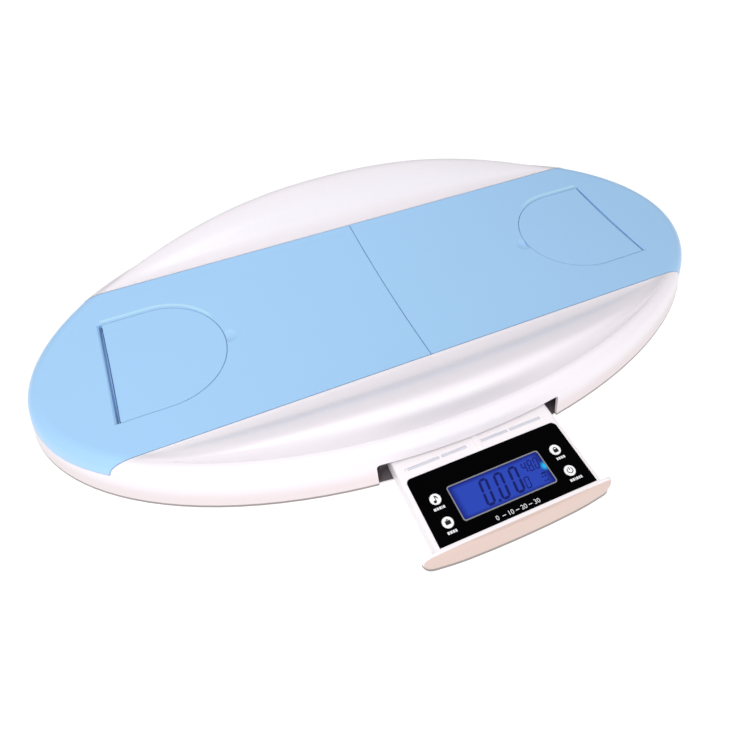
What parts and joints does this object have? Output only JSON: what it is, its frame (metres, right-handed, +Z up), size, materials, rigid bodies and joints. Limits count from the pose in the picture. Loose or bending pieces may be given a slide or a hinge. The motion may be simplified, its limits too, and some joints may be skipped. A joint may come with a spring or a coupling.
{
  "type": "digital baby weighing scale",
  "caption": "Oval baby weighing scale with a sliding two-part tray that measures length, hinged head and foot boards, raised side wings and a pull-out display drawer with push keys.",
  "frame": {"origin": "centre of the footprint on the floor, with the drawer pulled out and the tray halves closed", "axes": "+X along the body towards the right end seen from the display, +Y from the display towards the back, +Z up"},
  "size_m": [0.6239, 0.4089, 0.0687],
  "materials": {
    "shell_white": "smooth, satin gloss",
    "drawer_white": "smooth, satin gloss",
    "tray_blue": "smooth, satin gloss",
    "base_white": "fine matt",
    "gear_white": "smooth moulded",
    "steel": "zinc plated",
    "cell_metal": "milled",
    "foot_grey": "fine matt",
    "pad_rubber": "matt",
    "battery_wrap": "plain printed sleeve",
    "board_green": "solder mask",
    "switch_black": "moulded",
    "panel_black": "polished",
    "frame_silver": "bright",
    "lcd_blue": "backlit liquid crystal",
    "key_white": "smooth"
  },
  "bodies": {
    "scale_body": {"upper_shell": "shell_white", "base_plate": "base_white", "chassis_plate": "base_white", "slide_rail_front": "base_white", "slide_rail_back": "base_white", "rack_cover": "base_white", "length_encoder": "gear_white", "drawer_rail_left": "base_white", "drawer_rail_right": "base_white", "main_board": "board_green", "speaker": "switch_black", "battery_cell_1": "battery_wrap", "battery_cell_2": "battery_wrap", "battery_cell_3": "battery_wrap", "battery_cell_4": "battery_wrap", "battery_contacts": "steel", "load_cell_1": "cell_metal", "load_cell_2": "cell_metal", "load_cell_3": "cell_metal", "load_cell_4": "cell_metal", "foot_1": "foot_grey", "foot_2": "foot_grey", "foot_3": "foot_grey", "foot_4": "foot_grey", "foot_pad_1": "pad_rubber", "foot_pad_2": "pad_rubber", "foot_pad_3": "pad_rubber", "foot_pad_4": "pad_rubber", "case_screws": "steel", "deck_screws": "steel"},
    "tray_left": {"tray_panel_left": "tray_blue", "length_rack_left": "gear_white", "flap_pin_left": "steel"},
    "tray_right": {"tray_panel_right": "tray_blue", "length_rack_right": "gear_white", "flap_pin_right": "steel"},
    "board_left": {"flap_left": "tray_blue"},
    "board_right": {"flap_right": "tray_blue"},
    "drawer": {"drawer_tray": "drawer_white", "drawer_bezel": "drawer_white", "drawer_front": "drawer_white", "display_panel": "panel_black", "lcd_bezel": "frame_silver", "lcd_screen": "lcd_blue", "display_board": "board_green", "key_switches": "switch_black"},
    "melody": {"key_melody": "key_white"},
    "tare": {"key_tare": "key_white"},
    "hold": {"key_hold": "key_white"},
    "power": {"key_power": "key_white"},
    "pinion": {"length_pinion": "gear_white"},
    "door": {"battery_door": "base_white"}
  },
  "joints": [
    {"name": "tray_left_slide", "type": "slide", "parent": "scale_body", "child": "tray_left", "axis": [-1, 0, 0], "range_m": [0, 0.11]},
    {"name": "tray_right_slide", "type": "slide", "parent": "scale_body", "child": "tray_right", "axis": [1, 0, 0], "range_m": [0, 0.11]},
    {"name": "pinion_spin", "type": "hinge", "parent": "scale_body", "child": "pinion", "pos_m": [0, 0.036, 0.034], "axis": [0, 0, 1], "range_deg": [0, 263]},
    {"name": "board_left_hinge", "type": "hinge", "parent": "tray_left", "child": "board_left", "pos_m": [-0.238, 0.036, 0.037], "axis": [0, -1, 0], "range_deg": [0, 90]},
    {"name": "board_right_hinge", "type": "hinge", "parent": "tray_right", "child": "board_right", "pos_m": [0.238, 0.036, 0.037], "axis": [0, 1, 0], "range_deg": [0, 90]},
    {"name": "drawer_slide", "type": "slide", "parent": "scale_body", "child": "drawer", "axis": [0, 1, 0], "range_m": [0, 0.072]},
    {"name": "key_melody_press", "type": "slide", "parent": "drawer", "child": "melody", "axis": [0, 0, -1], "range_m": [0, 0.0006], "stiffness_N_per_m": 1500},
    {"name": "key_tare_press", "type": "slide", "parent": "drawer", "child": "tare", "axis": [0, 0, -1], "range_m": [0, 0.0006], "stiffness_N_per_m": 1500},
    {"name": "key_hold_press", "type": "slide", "parent": "drawer", "child": "hold", "axis": [0, 0, -1], "range_m": [0, 0.0006], "stiffness_N_per_m": 1500},
    {"name": "key_power_press", "type": "slide", "parent": "drawer", "child": "power", "axis": [0, 0, -1], "range_m": [0, 0.0006], "stiffness_N_per_m": 1500},
    {"name": "battery_door_slide", "type": "slide", "parent": "scale_body", "child": "door", "axis": [1, 0, 0], "range_m": [0, 0.012]}
  ],
  "couplings": [
    {"joint": "tray_right_slide", "follows": "tray_left_slide", "ratio": 1},
    {"joint": "pinion_spin", "follows": "tray_left_slide", "rad_per_m": 41.667}
  ]
}
